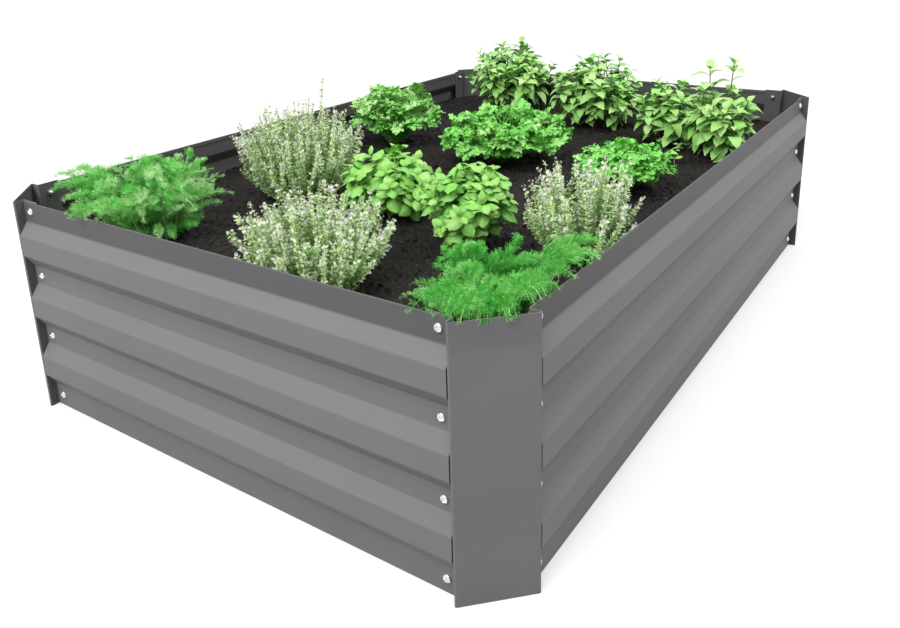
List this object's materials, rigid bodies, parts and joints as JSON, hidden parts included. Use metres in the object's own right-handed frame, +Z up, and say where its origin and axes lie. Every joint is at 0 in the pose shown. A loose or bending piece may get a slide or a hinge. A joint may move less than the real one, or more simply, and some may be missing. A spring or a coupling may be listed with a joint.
{
  "type": "raised garden bed",
  "caption": "Low rectangular raised garden bed of corrugated grey steel panels bolted to folded chamfered corner posts, filled with soil and planted with herbs.",
  "frame": {"origin": "on the ground, at the centre of the bed's footprint", "axes": "+X along the bed, +Y across it, +Z up"},
  "size_m": [1.2, 0.8, 0.412],
  "materials": {
    "painted_steel": "semi-matt grey coated steel sheet",
    "zinc_fastener": "bright zinc plate",
    "soil": "dark moist bark compost",
    "fennel": "feathery green foliage",
    "thyme": "grey-green foliage with small pale flowers",
    "basil": "smooth light green leaves",
    "parsley": "bright green cut leaves",
    "mint": "green pointed leaves on dark stems"
  },
  "bodies": {
    "root": {"basil_left": "basil", "basil_right": "basil", "bolts_back_left": "zinc_fastener", "bolts_back_right": "zinc_fastener", "bolts_front_left": "zinc_fastener", "bolts_front_right": "zinc_fastener", "bolts_left_back": "zinc_fastener", "bolts_left_front": "zinc_fastener", "bolts_right_back": "zinc_fastener", "bolts_right_front": "zinc_fastener", "corner_back_left": "painted_steel", "corner_back_right": "painted_steel", "corner_front_left": "painted_steel", "corner_front_right": "painted_steel", "fennel_front": "fennel", "fennel_left": "fennel", "mint_back": "mint", "mint_front": "mint", "mint_middle": "mint", "mint_right": "mint", "nuts_back_left": "zinc_fastener", "nuts_back_right": "zinc_fastener", "nuts_front_left": "zinc_fastener", "nuts_front_right": "zinc_fastener", "nuts_left_back": "zinc_fastener", "nuts_left_front": "zinc_fastener", "nuts_right_back": "zinc_fastener", "nuts_right_front": "zinc_fastener", "panel_back": "painted_steel", "panel_front": "painted_steel", "panel_left": "painted_steel", "panel_right": "painted_steel", "parsley_back": "parsley", "parsley_front": "parsley", "parsley_middle": "parsley", "soil": "soil", "thyme_back": "thyme", "thyme_front": "thyme", "thyme_left": "thyme"}
  },
  "joints": []
}
